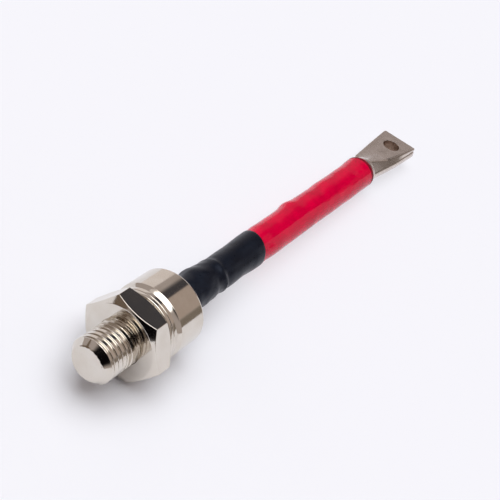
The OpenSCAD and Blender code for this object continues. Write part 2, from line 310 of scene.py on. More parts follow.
def linear(code: str) -> tuple[float, float, float, float]:
    """Turns an sRGB hex colour into linear light.

    Args:
        code: six hex digits after a hash.

    Returns:
        Red, green, blue and an alpha of 1.
    """
    shares = [int(code[place:place + 2], 16) / 255.0 for place in (1, 3, 5)]
    light = [share / 12.92 if share <= 0.04045 else ((share + 0.055) / 1.055) ** 2.4 for share in shares]
    return (*light, 1.0)


def per_mm(size: float) -> float:
    """Texture scale at which one feature measures this many millimetres."""
    return 1.0 / (size * MM)


def add(tree: NodeTree, kind: str, links: dict | None = None, **settings: object) -> Node:
    """Adds one node with its settings and links.

    Args:
        tree: the node tree.
        kind: node type.
        links: socket names or numbers, each with a node for its first output, an output or a value.
        settings: properties of the node.

    Returns:
        The new node.
    """
    node = tree.nodes.new(kind)
    for key, value in settings.items():
        setattr(node, key, value)
    for socket, value in (links or {}).items():
        if isinstance(value, Node):
            value = value.outputs[0]
        if isinstance(value, NodeSocket):
            tree.links.new(value, node.inputs[socket])
        else:
            node.inputs[socket].default_value = value
    return node


def new_material(name: str) -> tuple[Material, NodeTree]:
    """Makes an empty node material and returns it with its node tree."""
    material = bpy.data.materials.new(name)
    material.use_nodes = True
    material.node_tree.nodes.clear()
    return material, material.node_tree


def dress(obj: Object, *materials: Material) -> None:
    """Gives an object these materials in place of its own."""
    obj.data.materials.clear()
    for material in materials:
        obj.data.materials.append(material)


@dataclass(frozen=True)
class Finish:
    """A surface with slow patches of shade, a varying gloss, a fine grain and, if wanted, turning marks."""

    name: str
    colour: str
    shade: str
    roughness: tuple[float, float]
    patch_mm: float = 5.0
    grain_mm: float = 0.6
    grain_height_mm: float = 0.01
    mark_mm: float = 0.0
    mark_height_mm: float = 0.002
    specular: float = 0.5
    gloss_tint: str = "#ffffff"
    metallic: float = 0.0
    patch_detail: float = 4.0
    grain_detail: float = 4.0
    patch_range: tuple[float, float] = (0.35, 0.65)
    gloss_range: tuple[float, float] = (0.3, 0.7)
    gloss_by_patch: bool = False

    def make(self) -> Material:
        """Builds the material.

        Returns:
            A material whose colour and gloss vary slowly, with a fine bump.
        """
        material, tree = new_material(self.name)
        place = add(tree, "ShaderNodeTexCoord").outputs["Object"]
        patches = add(tree, "ShaderNodeTexNoise", {
            "Vector": place, "Scale": per_mm(self.patch_mm), "Detail": self.patch_detail,
        })
        grain = add(tree, "ShaderNodeTexNoise", {
            "Vector": place, "Scale": per_mm(self.grain_mm), "Detail": self.grain_detail,
        })
        share = add(tree, "ShaderNodeMapRange", {
            "Value": patches, "From Min": self.patch_range[0], "From Max": self.patch_range[1],
        })
        colour = add(tree, "ShaderNodeMix", {
            "Factor": share, 6: linear(self.colour), 7: linear(self.shade),
        }, data_type="RGBA")
        gloss = add(tree, "ShaderNodeMapRange", {
            "Value": patches if self.gloss_by_patch else grain,
            "From Min": self.gloss_range[0], "From Max": self.gloss_range[1],
            "To Min": self.roughness[0], "To Max": self.roughness[1],
        })
        bump = add(tree, "ShaderNodeBump", {
            "Height": grain, "Strength": 1.0, "Distance": self.grain_height_mm * MM,
        })
        if self.mark_mm > 0.0:
            marks = add(tree, "ShaderNodeTexWave", {
                "Vector": place, "Scale": per_mm(self.mark_mm) / 20.0, "Distortion": 0.6, "Detail": 2.0,
            }, wave_type="BANDS", bands_direction="X")
            bump = add(tree, "ShaderNodeBump", {
                "Height": marks.outputs[1], "Strength": 1.0, "Distance": self.mark_height_mm * MM,
                "Normal": bump,
            })
        surface = add(tree, "ShaderNodeBsdfPrincipled", {
            "Base Color": colour.outputs[2], "Metallic": self.metallic, "Roughness": gloss, "Normal": bump,
            "Specular IOR Level": self.specular, "Specular Tint": linear(self.gloss_tint),
        })
        add(tree, "ShaderNodeOutputMaterial", {"Surface": surface})
        return material


class Plastic(Finish):
    """A moulded or shrunk plastic with a soft skin."""


@dataclass(frozen=True)
class Metal(Finish):
    """A metal surface whose gloss follows its stains."""

    patch_mm: float = 6.0
    grain_mm: float = 0.25
    grain_height_mm: float = 0.004
    metallic: float = 1.0
    patch_detail: float = 5.0
    grain_detail: float = 3.0
    patch_range: tuple[float, float] = (0.35, 0.7)
    gloss_by_patch: bool = True


# Base


@dataclass
class ThreadedBase:
    """Hexagon base with its threaded stud, one bar of plated metal. Sizes in mm."""

    stud_r: float = 6.0
    root_r: float = 5.62
    crest_share: float = 0.62
    root_share: float = 0.95
    flank_ease: float = 0.6
    pitch: float = 1.5
    tip_r: float = 4.6
    tip_len: float = 1.6
    tip_round: float = 0.25
    tip_sag: float = 0.15
    neck_r: float = 5.25
    neck_x: float = 4.1
    neck_slope: float = 2.0
    neck_gap: float = 0.3
    seat_x: float = 5.5
    recess_r: float = 6.12
    recess_depth: float = 0.3
    hex_half: float = 10.5
    hex_x1: float = 11.7
    front_circle_r: float = 9.9
    back_circle_r: float = 10.2
    chamfer_angle: float = 30.0
    shoulder_r: float = 9.2
    shoulder_x: float = 12.8
    pedestal_r: float = 6.0
    columns: int = 144
    rows_per_pitch: int = 24
    edge_break: float = 0.09
    edge_angle: float = 20.0

    def blank_radius(self, x: float) -> float:
        """Radius of the bar before the thread is cut.

        Args:
            x: place on the axis.

        Returns:
            The radius there, with the chamfered tip and the relief neck.
        """
        tip_x = span("base_stud")[0]
        slope = (self.stud_r - self.tip_r) / self.tip_len
        cone = self.tip_r + slope * (x - tip_x)
        ease = max(0.0, 1.0 - (x - tip_x) / self.tip_round)
        cone -= self.tip_sag * ease * ease
        neck = self.stud_r - self.neck_slope * max(0.0, x - self.neck_x)
        return min(self.stud_r, cone, max(neck, self.neck_r))

    def thread_form(self) -> list[Vector]:
        """One pitch of the thread, root to root, with rounded crest and root.

        Returns:
            Points as (place on the axis, radius).
        """
        points = []
        for row in range(self.rows_per_pitch + 1):
            away = abs(2.0 * row / self.rows_per_pitch - 1.0)
            fall = ramp(self.crest_share, self.root_share, away)
            fall = blend(fall, smoothstep(0.0, 1.0, fall), self.flank_ease)
            x = row * self.pitch / self.rows_per_pitch
            points.append(Vector((x, blend(self.stud_r, self.root_r, fall))))
        return points

    def cut_thread(self) -> Object:
        """Winds the thread form round the axis and trims it to the bar.

        Returns:
            The threaded length, open at the neck.
        """
        tip_x = span("base_stud")[0]
        thread = draw_line("base_with_thread", self.thread_form())
        turns = ceil((self.seat_x - tip_x) / self.pitch) + 2
        apply_modifier(thread, "SCREW", axis="X", angle=FULL_TURN, screw_offset=self.pitch * MM,
                       iterations=turns, steps=self.columns, render_steps=self.columns)
        with editing(thread):
            bpy.ops.mesh.remove_doubles(threshold=MERGE)
            bpy.ops.transform.translate(value=((tip_x - 1.5 * self.pitch) * MM, 0.0, 0.0))
            mesh = bmesh.from_edit_mesh(thread.data)
            for vertex in mesh.verts:
                limit = self.blank_radius(max(vertex.co.x / MM, tip_x)) * MM
                radius = hypot(vertex.co.y, vertex.co.z)
                vertex.co.yz = vertex.co.yz * min(1.0, limit / radius)
            bmesh.update_edit_mesh(thread.data)
            for place, keep in ((tip_x, "clear_inner"), (self.seat_x - self.neck_gap, "clear_outer")):
                bpy.ops.mesh.select_all(action="SELECT")
                bpy.ops.mesh.bisect(plane_co=(place * MM, 0.0, 0.0), plane_no=(1.0, 0.0, 0.0),
                                    threshold=CUT_THRESHOLD, **{keep: True})
            bpy.ops.mesh.select_all(action="SELECT")
            bpy.ops.mesh.remove_doubles(threshold=MERGE)
            select_open_edges(thread, tip_x * MM)
            bpy.ops.mesh.edge_face_add()
        return thread

    def hex_radius(self, angle: float) -> float:
        """Radius of the hexagon's outline at an angle about the axis, with a flat on top."""
        sector = pi / 3.0
        offset = (angle - pi / 2.0 + sector / 2.0) % sector - sector / 2.0
        return self.hex_half / cos(offset)

    def head_profile(self, angle: float) -> list[tuple[float, float]]:
        """Outline of the head at one angle about the axis, from the neck to the pedestal.

        Args:
            angle: angle about the axis, in radians.

        Returns:
            Places on the axis with their radii.
        """
        slope = tan(radians(self.chamfer_angle))
        floor_x = self.seat_x + self.recess_depth
        flat_r = self.hex_radius(angle)
        return [
            (floor_x, self.neck_r),
            (floor_x, self.recess_r),
            (self.seat_x, self.recess_r),
            (self.seat_x, self.front_circle_r),
            (self.seat_x + (flat_r - self.front_circle_r) * slope, flat_r),
            (self.hex_x1 - (flat_r - self.back_circle_r) * slope, flat_r),
            (self.hex_x1, self.back_circle_r),
            (self.hex_x1, self.shoulder_r),
            (self.shoulder_x, self.shoulder_r),
            (self.shoulder_x, self.pedestal_r),
            (span("base_stud")[1], self.pedestal_r),
        ]

    def forge_head(self) -> Object:
        """Extrudes the head ring by ring from a circle at the neck and breaks its edges.

        Returns:
            The head, open at the neck.
        """
        deselect_all()
        bpy.ops.mesh.primitive_circle_add(vertices=self.columns, radius=self.neck_r * MM)
        head = newest("head")
        with editing(head) as mesh:
            for vertex in mesh.verts:
                vertex.co = Vector((self.seat_x * MM, vertex.co.x, vertex.co.y))
            for index in range(len(self.head_profile(0.0))):
                bpy.ops.mesh.extrude_region_move(TRANSFORM_OT_translate={"value": (0.0, 0.0, 0.0)})
                mesh = bmesh.from_edit_mesh(head.data)
                for vertex in mesh.verts:
                    if vertex.select:
                        angle = atan2(vertex.co.z, vertex.co.y)
                        x, radius = self.head_profile(angle)[index]
                        vertex.co = Vector((x, radius * cos(angle), radius * sin(angle))) * MM
                bmesh.update_edit_mesh(head.data)
            bpy.ops.mesh.edge_face_add()
            bpy.ops.mesh.select_all(action="SELECT")
            bpy.ops.mesh.normals_make_consistent(inside=False)
        apply_modifier(head, "BEVEL", width=self.edge_break * MM, segments=3, limit_method="ANGLE",
                       angle_limit=radians(self.edge_angle))
        return head

    def build(self) -> Object:
        """Joins thread and head at the neck.

        Returns:
            The finished base.
        """
        thread = self.cut_thread()
        head = self.forge_head()
        pick(thread)
        head.select_set(True)
        bpy.ops.object.join()
        with editing(thread):
            select_open_edges(thread)
            bpy.ops.mesh.bridge_edge_loops()
        close_up(thread)
        smooth(thread)
        settle(thread, Slot.NICKEL, "base_stud")
        return thread


# Cap


@dataclass
class WeldedCap:
    """Drawn cap with its weld ring and the glass seal in its top. Sizes in mm."""

    ring_r0: float = 8.45
    ring_r1: float = 9.7
    ring_round: float = 0.22
    lip_x1: float = 15.1
    groove_r: float = 9.5
    groove_x1: float = 15.3
    cone_x1: float = 16.3
    wall_r: float = 10.2
    wall_t: float = 0.8
    top_t: float = 0.9
    rim_r: float = 0.7
    soft_edge: float = 0.12
    hole_r: float = 6.65
    eyelet_r0: float = 5.9
    eyelet_r1: float = 6.6
    eyelet_flange: float = 0.6
    eyelet_flange_t: float = 0.4
    glass_r0: float = 2.85
    glass_sink: float = 0.1
    meniscus: float = 0.28
    columns: int = 192

    def build_ring(self) -> Object:
        """Turns the weld ring with round rims."""
        x0, x1 = span("weld_ring")
        corners = [
            (x0, self.ring_r0),
            (x0, self.ring_r1, self.ring_round),
            (x1, self.ring_r1, self.ring_round),
            (x1, self.ring_r0),
        ]
        ring = turn("bright_weld_ring", round_corners(corners), self.columns)
        smooth(ring)
        settle(ring, Slot.NICKEL, "weld_ring")
        return ring

    def build_cap(self) -> Object:
        """Turns the cap from lip to rim, with its hollow and the hole for the seal."""
        x0, x1 = span("cap")
        soft = self.soft_edge
        corners = [
            (x0, self.ring_r0),
            (x0, self.ring_r1, self.ring_round),
            (self.lip_x1, self.ring_r1, self.ring_round * 0.8),
            (self.lip_x1, self.groove_r),
            (self.groove_x1, self.groove_r),
            (self.cone_x1, self.wall_r, soft * 2.0),
            (x1, self.wall_r, self.rim_r),
            (x1, self.hole_r, soft),
            (x1 - self.top_t, self.hole_r),
            (x1 - self.top_t, self.wall_r - self.wall_t),
            (self.cone_x1 + self.wall_t, self.wall_r - self.wall_t),
            (self.lip_x1, self.ring_r0),
        ]
        cap = turn("drawn_cap", round_corners(corners, 6), self.columns)
        smooth(cap)
        settle(cap, Slot.NICKEL, "cap")
        return cap

    def build_eyelet(self) -> Object:
        """Turns the steel eyelet that holds the glass."""
        x0, x1 = span("seal_ring")
        corners = [
            (x0, self.eyelet_r0),
            (x0, self.eyelet_r1 + self.eyelet_flange),
            (x0 + self.eyelet_flange_t, self.eyelet_r1 + self.eyelet_flange),
            (x0 + self.eyelet_flange_t, self.eyelet_r1),
            (x1, self.eyelet_r1, self.soft_edge),
            (x1, self.eyelet_r0, self.soft_edge),
        ]
        eyelet = turn("seal_eyelet", round_corners(corners), self.columns)
        smooth(eyelet)
        settle(eyelet, Slot.STEEL, "seal_ring")
        return eyelet

    def build_glass(self) -> Object:
        """Turns the glass bead with a hollow meniscus at its outer face."""
        x0, x1 = span("glass_seal")
        outer = self.eyelet_r0 - 0.05
        steps = 12
        face = []
        for step in range(steps + 1):
            share = step / steps
            sag = self.meniscus * (1.0 - (2.0 * share - 1.0) ** 2)
            face.append((x1 - sag, blend(outer, self.glass_r0, share)))
        corners = [(x0, self.glass_r0), (x0, outer), *face]
        bead = turn("glass_bead", round_corners(corners), self.columns)
        smooth(bead, weighted=False)
        settle(bead, Slot.GLASS, "glass_seal")
        return bead


# Lead


@dataclass(frozen=True)
class Hump:
    """One swelling or dent of a sleeve, soft along the axis and round it. Sizes in mm, angles in radians."""

    x: float
    length: float
    angle: float
    spread: float
    height: float

    def at(self, x: float, angle: float) -> float:
        """Its rise at a place on the axis and an angle."""
        return self.height * bell(x - self.x, self.length) * bell(turned(angle, self.angle), self.spread)


@dataclass
class SleevedLead:
    """Flexible lead in its black and red shrink sleeves. Sizes in mm."""

    black_mouth_r: float = 4.7
    black_r: float = 4.9
    black_pinch_r: float = 4.7
    black_end_r: float = 5.0
    black_bore: float = 4.5
    black_thin_bore: float = 4.35
    red_under_r: float = 4.3
    red_mouth_r: float = 4.75
    red_r: float = 4.9
    red_bore: float = 3.8
    lug_bore: float = 4.35
    lug_from_x: float = 109.5
    crease_x: float = 43.1
    crease_rise: float = 0.3
    crease_width: float = 0.45
    crease_angle: float = 2.85
    crease_spread: float = 0.95
    crease_wander: float = 1.1
    folds: tuple[Triple, ...] = ((1.1, 0.7, -0.6), (-2.2, 1.2, -0.8), (-5.6, 1.6, 0.6))
    swelling: Hump = Hump(36.0, 2.6, 0.3, 1.1, 0.5)
    waist: Hump = Hump(40.5, 4.0, 3.4, 1.0, -0.3)
    knuckle: Hump = Hump(82.5, 2.4, 0.3, 0.9, 0.5)
    cut_angle: float = 0.3
    black_slant: float = 1.0
    black_shift: float = 0.2
    black_cut_len: float = 6.0
    black_lump: float = 0.17
    black_fold: float = 0.16
    red_lump: float = 0.12
    lip: float = 0.12
    # Painted shade: length at the red sleeve's end that takes the darker crimson
    rim: float = 1.7
    red_slant: float = 0.25
    red_rag: float = 0.3
    red_cut_len: float = 5.0
    flare: float = 0.45
    flare_spread: float = 0.8
    roll: float = 0.3
    skin_angle: float = 50.0
    row: float = 0.6
    columns: int = 112
    diameter: float = 9.8
    path_points: int = 20

    def shrink(self, sleeve: Object, shape: RadialShape, from_r: float,
               cut: Callable[[float], float], cut_len: float) -> None:
        """Moves the outer skin of a turned sleeve in and out and slants its far end.

        Args:
            sleeve: the turned sleeve.
            shape: radial move in mm at a place on the axis and an angle.
            from_r: skin starts at this radius.
            cut: move of the far end along the axis, in mm, at an angle.
            cut_len: length at the far end that takes part in that move.
        """
        with editing(sleeve) as mesh:
            end = max(vertex.co.x for vertex in mesh.verts) / MM
            for vertex in mesh.verts:
                x = vertex.co.x / MM
                radius = hypot(vertex.co.y, vertex.co.z) / MM
                angle = atan2(vertex.co.z, vertex.co.y)
                if radius > from_r:
                    grown = max(radius + shape(x, angle), from_r)
                    vertex.co.yz = vertex.co.yz * (grown / radius)
                vertex.co.x += cut(angle) * smoothstep(end - cut_len, end, x) * MM
        smooth(sleeve, self.skin_angle, weighted=False)

    def lumps(self, x: float, angle: float, seed: float, length: float) -> float:
        """Slow dents and swellings of a shrunk skin.

        Args:
            x: place on the axis, in mm.
            angle: angle about the axis.
            seed: offset that makes each sleeve its own.
            length: length of a lump along the axis, in mm.

        Returns:
            A number from about -1 to 1.
        """
        spot = Vector((x / length + seed, 0.75 * cos(angle), 0.75 * sin(angle) - seed))
        return noise.noise(spot) + 0.4 * noise.noise(spot * 2.1)

    def rows(self, x0: float, x1: float, radius: Callable[[float], float]) -> list[Corner]:
        """Corners of a sleeve's outer line from x0 to x1.

        Args:
            x0: start on the axis.
            x1: end on the axis.
            radius: outer radius at a place on the axis.

        Returns:
            The corners, one for each row.
        """
        count = max(1, round((x1 - x0) / self.row))
        return [(blend(x0, x1, step / count), radius(blend(x0, x1, step / count)))
                for step in range(count + 1)]

    def black_radius(self, x: float) -> float:
        """Outer radius of the black sleeve: tight at the cap, pinched past the barrel, wide at its end."""
        x0, x1 = span("black_sleeve")
        start = blend(self.black_mouth_r, self.black_r, smoothstep(x0, x0 + 4.0, x))
        past = blend(start, self.black_pinch_r, smoothstep(self.crease_x - 0.6, self.crease_x + 1.2, x))
        return blend(past, self.black_end_r, smoothstep(x1 - 9.0, x1 - 1.0, x))

    def red_radius(self, x: float) -> float:
        """Outer radius of the red sleeve: thin under the black one, full beyond it."""
        black_end = span("black_sleeve")[1]
        under = blend(self.red_under_r, self.red_mouth_r, smoothstep(black_end - 3.0, black_end, x))
        return blend(under, self.red_r, smoothstep(black_end + 1.2, black_end + 5.0, x))

    def build_black(self) -> Object:
        """Turns the black sleeve and shrinks it over the barrel's end.

        Returns:
            The finished sleeve.
        """
        x0, x1 = span("black_sleeve")
        outer = self.rows(x0, x1 - self.lip, self.black_radius)
        corners = [
            (x0, self.black_bore),
            *outer,
            (x1, self.black_end_r - 0.04),
            (x1, self.red_mouth_r + 0.05),
            (x1 - 3.0, self.black_thin_bore),
            (self.crease_x, self.black_thin_bore),
            (self.crease_x, self.black_bore),
        ]
        sleeve = turn("black_sleeve_shrunk", round_corners(corners), self.columns)

        def shape(x: float, angle: float) -> float:
            """Crease over the barrel's end, a swelling beside the cap and slow lumps."""
            calm = smoothstep(x0, x0 + 4.0, x) * (1.0 - smoothstep(x1 - 5.0, x1 - 1.0, x))
            wander = self.crease_wander * noise.noise(Vector((cos(angle), sin(angle), 3.1)))
            past = x - (self.crease_x - 0.2 + wander)
            strong = bell(turned(angle, self.crease_angle), self.crease_spread)
            crease = (0.2 + 0.8 * strong) * bell(past, self.crease_width)
            crease += strong * sum(share * bell(past - away, width) for away, width, share in self.folds)
            before = 1.0 - smoothstep(self.crease_x - 1.5, self.crease_x + 1.0, x)
            lumps = self.black_lump * self.lumps(x, angle, 4.3, 5.5)
            lumps += self.black_fold * before * self.lumps(x, 2.0 * angle, 7.9, 3.0)
            lumps += self.swelling.at(x, angle) + self.waist.at(x, angle)
            return calm * lumps + self.crease_rise * crease

        self.shrink(sleeve, shape, self.black_bore + 0.06, self.black_cut, self.black_cut_len)
        settle(sleeve, Slot.BLACK_SLEEVE, "black_sleeve")
        return sleeve

    def build_red(self) -> Object:
        """Turns the red sleeve and shrinks it over the conductor and the lug.

        Returns:
            The finished sleeve.
        """
        x0, x1 = span("red_sleeve")
        black_end = span("black_sleeve")[1]
        outer = self.rows(x0, x1 - self.lip, self.red_radius)
        corners = [
            (x0, self.red_bore),
            *outer,
            (x1, self.red_r - 0.1),
            (x1, self.lug_bore),
            (self.lug_from_x - 0.8, self.lug_bore),
            (self.lug_from_x - 0.8, self.red_bore),
        ]
        sleeve = turn("red_sleeve_shrunk", round_corners(corners), self.columns)

        def shape(x: float, angle: float) -> float:
            """Lumps and one knuckle beyond the black sleeve, and a flared rim that rolls in at the lug."""
            calm = smoothstep(black_end + 1.5, black_end + 6.0, x)
            calm *= 1.0 - smoothstep(x1 - 5.0, x1 - 1.0, x)
            lumps = self.red_lump * self.lumps(x, angle, 11.7, 7.0) + self.knuckle.at(x, angle)
            near = bell(turned(angle, self.cut_angle), self.flare_spread)
            flare = self.flare * smoothstep(x1 - 9.0, x1 - 1.0, x) * near
            return calm * lumps - self.roll * smoothstep(x1 - 1.0, x1, x) ** 2 + flare

        self.shrink(sleeve, shape, self.lug_bore + 0.1, self.red_cut, self.red_cut_len)
        settle(sleeve, Slot.RED_SLEEVE, "red_sleeve")
        return sleeve

    def black_cut(self, angle: float) -> float:
        """How far the slanted cut of the black sleeve moves its end at one angle, in mm."""
        return self.black_slant * cos(angle - self.cut_angle) + self.black_shift

    def red_cut(self, angle: float) -> float:
        """How far the slanted, ragged cut of the red sleeve moves its end at one angle, in mm."""
        rag = noise.noise(Vector((1.6 * cos(angle), 1.6 * sin(angle), 8.2)))
        return -self.red_slant * (1.0 + cos(angle - self.cut_angle)) - self.red_rag * (0.6 + rag)

    def paint_rim_shade(self, red: Object) -> None:
        """Gives the last stretch of the red sleeve at the lug the second material, a darker crimson that
        paints the shade of the gap at its end.
        """
        end = span("red_sleeve")[1] - self.rim
        for face in red.data.polygons:
            angle = atan2(face.center.z, face.center.y)
            face.material_index = 1 if face.center.x / MM - self.red_cut(angle) > end else 0


# Lug


@dataclass
class PressedLug:
    """Tube lug, round in the sleeve and pressed flat over a long taper. Sizes in mm."""

    barrel_r: float = 4.3
    bore_r: float = 2.9
    bore_depth: float = 12.5
    flat_from_x: float = 123.6
    palm_from_x: float = 136.5
    press_w: float = 11.6
    press_t: float = 5.1
    palm_w: float = 12.8
    palm_t: float = 3.7
    palm_top: float = 2.7
    near_half_from: float = 0.8
    near_half_to: float = 6.15
    near_curve: float = 0.85
    near_edge: float = 0.5
    far_from: tuple[float, float] = (4.3, 2.95)
    far_half_to: float = 6.15
    far_edge: float = 0.45
    far_side: float = 0.2
    lip_from_z: float = 0.1
    lip_to_z: float = 0.7
    lip_r: float = 1.0
    lip_h: float = 2.5
    lip_sweep_deg: float = 62.0
    round_len: float = 1.6
    mouth_t: float = 0.5
    mouth_depth: float = 1.6
    mouth_w: float = 9.1
    turn_deg: float = -9.0
    corner: float = 0.9
    hole_r: float = 2.75
    hole_edge: float = 6.4
    edge_break: float = 0.14
    belly_points: int = 14
    flat_points: int = 8
    lip_points: int = 8
    side_points: int = 14
    edge_points: int = 6
    press_lead: float = 0.3
    press_rows: int = 32
    press_bunch: float = 1.4
    palm_rows: int = 8
    top_rate: float = 1.35
    edge_limit: float = 0.6
    belly_curve: float = 0.7
    hole_sides: int = 96
    bore_sides: int = 64
    edge_angle: float = 40.0
    wall_margin: float = 0.02

    def half_section(self, x: float, far: bool) -> list[Vector]:
        """Pressed outline on one side, from the middle of the bottom to the middle of the top.

        Args:
            x: place on the axis, in mm.
            far: whether it is the side with the square shoulder, not the one with the slope.

        Returns:
            Points as (across, up) in mm: round belly, upright lip, side, soft edge and top face.
        """
        end = span("cable_lug")[1]
        ease = ramp(self.flat_from_x, self.palm_from_x, x)
        whole = ramp(self.flat_from_x, end, x)
        run = ramp(self.palm_from_x, end, x)
        half_w = blend(blend(self.barrel_r, self.press_w / 2.0, ease), self.palm_w / 2.0, run)
        down = min(self.top_rate * ease, 1.0)
        top = blend(self.barrel_r, self.palm_top, down)
        bottom = blend(-self.barrel_r, self.palm_top - self.palm_t, whole)
        share = whole ** self.near_curve
        if far:
            corner = Vector((blend(self.far_from[0], self.far_half_to, share),
                             blend(self.far_from[1], self.palm_top, down)))
            half_w = max(half_w, corner.x + self.far_side)
        else:
            corner = Vector((blend(self.near_half_from, self.near_half_to, share), top))
        edge = min(self.far_edge if far else self.near_edge, self.edge_limit * corner.x)
        lip_z = blend(self.lip_from_z, self.lip_to_z, whole)
        low = Vector((half_w - self.lip_r, max(lip_z - self.lip_h / 2.0, bottom) + self.lip_r))
        high = Vector((low.x, lip_z + self.lip_h / 2.0 - self.lip_r))
        points = []
        for step in range(self.belly_points):
            angle = 0.5 * pi * step / self.belly_points
            belly = blend(low.y - self.lip_r, bottom, cos(angle) ** self.belly_curve)
            points.append(Vector((low.x * sin(angle), belly)))
        for middle, first, sweep in ((low, -90.0, 90.0), (high, 0.0, self.lip_sweep_deg)):
            for step in range(self.lip_points + 1):
                angle = radians(first + sweep * step / self.lip_points)
                points.append(middle + Vector((cos(angle), sin(angle))) * self.lip_r)
        foot = points[-1]
        brow = corner - (corner - foot).normalized() * min(edge, 0.5 * (corner - foot).length)
        points += [foot.lerp(brow, step / self.side_points) for step in range(1, self.side_points + 1)]
        crown = Vector((0.0, top))
        flat = corner + (crown - corner).normalized() * edge
        for step in range(1, self.edge_points + 1):
            share = step / self.edge_points
            points.append(brow.lerp(corner, share).lerp(corner.lerp(flat, share), share))
        points += [flat.lerp(crown, step / self.flat_points) for step in range(1, self.flat_points + 1)]
        return points

    def section(self, x: float) -> list[Vector]:
        """Outline of the tube at one place on the axis, square to it.

        Args:
            x: place on the axis, in mm.

        Returns:
            Points as (across, up) in mm, round the tube, from the barrel's circle to the pressed shape.
        """
        pressed = smoothstep(self.flat_from_x - self.press_lead, self.flat_from_x + self.round_len, x)
        outline = []
        for side in (1.0, -1.0):
            points = []
            for point in self.half_section(x, side > 0.0):
                place = (point.normalized() * self.barrel_r).lerp(point, pressed)
                points.append(Vector((side * place.x, place.y)))
            outline += points if side > 0.0 else points[-2:0:-1]
        return outline

    def stations(self) -> list[float]:
        """Places on the axis of the sections from the barrel's mouth to the palm's end."""
        x0, x1 = span("cable_lug")
        start = self.flat_from_x - self.press_lead
        shares = [(step / self.press_rows) ** self.press_bunch for step in range(self.press_rows + 1)]
        press = [blend(start, self.palm_from_x, share) for share in shares]
        palm = [blend(self.palm_from_x, x1, step / self.palm_rows) for step in range(1, self.palm_rows + 1)]
        return [x0, *press, *palm]

    def build(self) -> Object:
        """Lofts the tube, bevels its end corners, drills the hole and the bore.

        Returns:
            The finished lug.
        """
        count = len(self.section(self.flat_from_x))
        deselect_all()
        bpy.ops.mesh.primitive_circle_add(vertices=count, radius=self.barrel_r * MM)
        lug = newest("pressed_lug")
        with editing(lug):
            for index, x in enumerate(self.stations()):
                if index > 0:
                    bpy.ops.mesh.extrude_region_move(TRANSFORM_OT_translate={"value": (0.0, 0.0, 0.0)})
                mesh = bmesh.from_edit_mesh(lug.data)
                mesh.verts.ensure_lookup_table()
                ring = mesh.verts[index * count:(index + 1) * count]
                for vertex, point in zip(ring, self.section(x)):
                    vertex.co = Vector((x, point.x, point.y)) * MM
                bmesh.update_edit_mesh(lug.data)
            bpy.ops.mesh.edge_face_add()
            select_open_edges(lug)
            bpy.ops.mesh.edge_face_add()
            self.cut_corners()
            bpy.ops.mesh.select_all(action="SELECT")
            bpy.ops.mesh.normals_make_consistent(inside=False)
        self.drill(lug)
        return lug

    def cut_corners(self) -> None:
        """Cuts the palm's two end corners off at 45 degrees, in edit mode."""
        end = span("cable_lug")[1]
        for side in (1.0, -1.0):
            bpy.ops.mesh.select_all(action="SELECT")
            bpy.ops.mesh.bisect(
                plane_co=((end - self.corner) * MM, side * self.palm_w / 2.0 * MM, 0.0),
                plane_no=(1.0, side, 0.0), clear_outer=True, use_fill=True, threshold=CUT_THRESHOLD,
            )

    def drill(self, lug: Object) -> None:
        """Drills the palm's hole and the barrel's bore and turns the lug to its place.

        Args:
            lug: the closed lug, level.
        """
        x0, x1 = span("cable_lug")
        deselect_all()
        bpy.ops.mesh.primitive_cylinder_add(
            vertices=self.hole_sides, radius=self.hole_r * MM, depth=4.0 * self.press_t * MM,
            location=((x1 - self.hole_edge) * MM, 0.0, 0.0),
        )
        cut_away(lug)
        deselect_all()
        middle = self.palm_top - self.palm_t / 2.0
        bpy.ops.mesh.primitive_cube_add(size=1.0, location=(x1 * MM, 0.0, middle * MM))
        bpy.context.active_object.scale = Vector((2.0 * self.mouth_depth, self.mouth_w, self.mouth_t)) * MM
        bpy.ops.object.transform_apply(location=False, rotation=False, scale=True)
        cut_away(lug)
        deselect_all()
        bpy.ops.mesh.primitive_cylinder_add(
            vertices=self.bore_sides, radius=self.bore_r * MM, depth=2.0 * self.bore_depth * MM,
            location=(x0 * MM, 0.0, 0.0), rotation=(0.0, pi / 2.0, 0.0),
        )
        cut_away(lug)
        apply_modifier(lug, "BEVEL", width=self.edge_break * MM, segments=2, limit_method="ANGLE",
                       angle_limit=radians(self.edge_angle))
        lug.data.transform(Matrix.Rotation(radians(self.turn_deg), 4, "X"))
        smooth(lug)
        settle(lug, Slot.TINNED, "cable_lug")

    def mark_hole(self, lug: Object) -> None:
        """Gives the wall of the palm's hole the second material."""
        end = span("cable_lug")[1]
        back = Matrix.Rotation(radians(-self.turn_deg), 3, "X")
        middle = Vector(((end - self.hole_edge) * MM, 0.0, 0.0))
        for face in lug.data.polygons:
            place = back @ face.center - middle
            inside = hypot(place.x, place.y) < (self.hole_r + self.wall_margin) * MM
            face.material_index = 1 if inside else 0


# Studio


def direction(azimuth: float, elevation: float) -> Vector:
    """Unit vector towards an azimuth and an elevation in degrees."""
    round_z, rise = radians(azimuth), radians(elevation)
    return Vector((cos(rise) * cos(round_z), cos(rise) * sin(round_z), sin(rise)))


@dataclass(frozen=True)
class SkyPatch:
    """A bright or dark part of the studio, as the metal mirrors it."""

    azimuth: float
    elevation: float
    half_angle: float
    edge: float
    colour: str
    strength: float = 1.0


